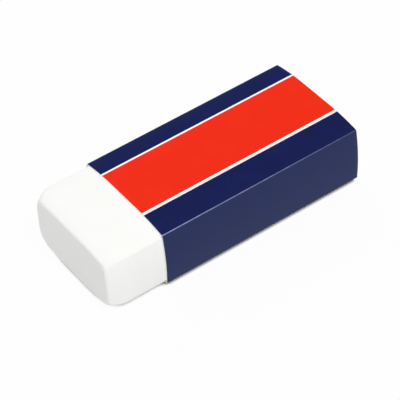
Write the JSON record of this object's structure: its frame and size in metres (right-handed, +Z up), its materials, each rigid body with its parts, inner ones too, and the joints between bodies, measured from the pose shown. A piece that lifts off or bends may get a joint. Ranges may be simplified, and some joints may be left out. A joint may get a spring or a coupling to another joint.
{
  "type": "rubber eraser",
  "caption": "White rubber eraser block with softly rounded edges in a folded and glued printed card sleeve that slides along it.",
  "frame": {"origin": "middle of the footprint, at the height of the surface that the part lies on", "axes": "+X along the block, from the bare nose to the sleeved end; +Y across it, towards the glued side of the card; +Z up"},
  "size_m": [0.056, 0.0254, 0.0138],
  "materials": {
    "white_rubber": "soft matt, faintly dusty",
    "printed_card": "printed navy with a red field between white rules, satin varnish, pale raw card inside"
  },
  "bodies": {
    "block": {"eraser_block": "white_rubber"},
    "sleeve": {"card_sleeve": "printed_card"}
  },
  "joints": [
    {"name": "sleeve_slide", "type": "slide", "parent": "block", "child": "sleeve", "axis": [1, 0, 0], "range_m": [-0.051, 0.0385]}
  ]
}
